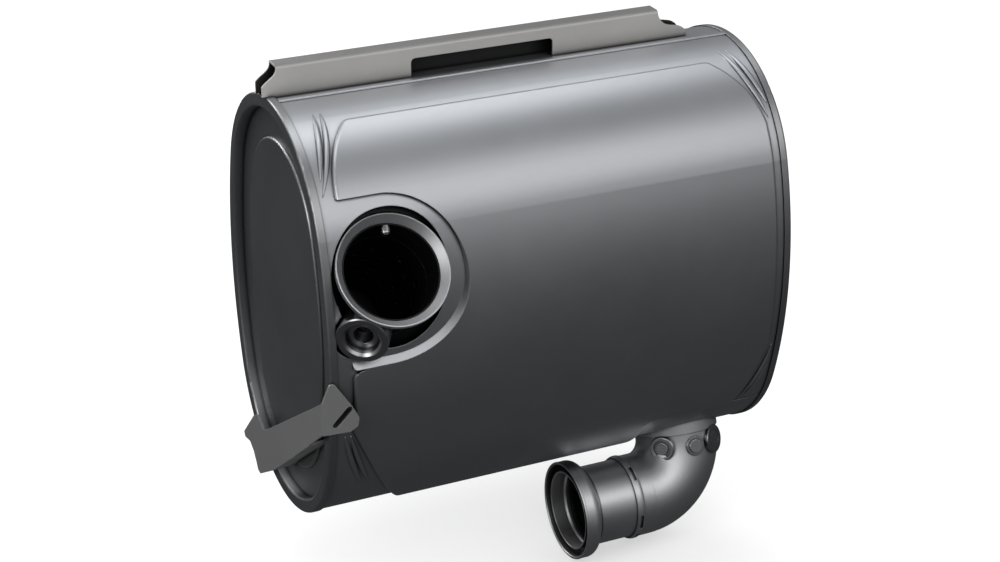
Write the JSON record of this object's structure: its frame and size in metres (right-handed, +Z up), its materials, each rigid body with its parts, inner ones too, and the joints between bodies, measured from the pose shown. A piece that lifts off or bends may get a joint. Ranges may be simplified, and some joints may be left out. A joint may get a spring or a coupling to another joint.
{
  "type": "scr muffler",
  "caption": "Oval steel exhaust muffler with a pressed side panel, clamp inlet, dosing boss, slotted hanger rail, lower bracket and a sharp outlet elbow.",
  "frame": {"origin": "front face of the hanger rail, in the middle of the strap above its slot", "axes": "+X along the can toward the cap above the outlet elbow, -Y the inlet side, +Z up"},
  "size_m": [0.69, 0.4438, 0.7697],
  "materials": {
    "jacket_steel": "satin, pressed sheet",
    "cap_steel": "satin, darker pressed sheet",
    "bracket_steel": "satin, warm grey sheet",
    "collar_steel": "turned, satin",
    "boss_steel": "turned, satin",
    "plug_steel": "machined",
    "pipe_steel": "satin drawn tube",
    "inner_steel": "dark sheet",
    "fibre_mat": "compressed fibre",
    "brick_ceramic": "matt"
  },
  "bodies": {
    "root": {"front_jacket": "jacket_steel", "rear_jacket": "jacket_steel", "left_end_cap": "cap_steel", "right_end_cap": "cap_steel", "hanger_rail": "bracket_steel", "lower_bracket": "bracket_steel", "inlet_collar": "collar_steel", "outlet_neck": "collar_steel", "injector_boss": "boss_steel", "front_sensor_boss": "boss_steel", "side_sensor_boss": "boss_steel", "rear_sensor_boss": "boss_steel", "inlet_probe": "boss_steel", "front_sensor_plug": "plug_steel", "side_sensor_plug": "plug_steel", "rear_sensor_plug": "plug_steel", "outlet_elbow": "pipe_steel", "outlet_socket": "pipe_steel", "outlet_pipe": "pipe_steel", "inner_can": "inner_steel", "inlet_tube": "inner_steel", "mixer_tube": "inner_steel", "mixer_end_plate": "inner_steel", "left_baffle": "inner_steel", "right_baffle": "inner_steel", "upper_catalyst_can": "inner_steel", "lower_catalyst_can": "inner_steel", "insulation_mat": "fibre_mat", "upper_support_mat": "fibre_mat", "lower_support_mat": "fibre_mat", "upper_catalyst_brick": "brick_ceramic", "lower_catalyst_brick": "brick_ceramic"}
  },
  "joints": []
}
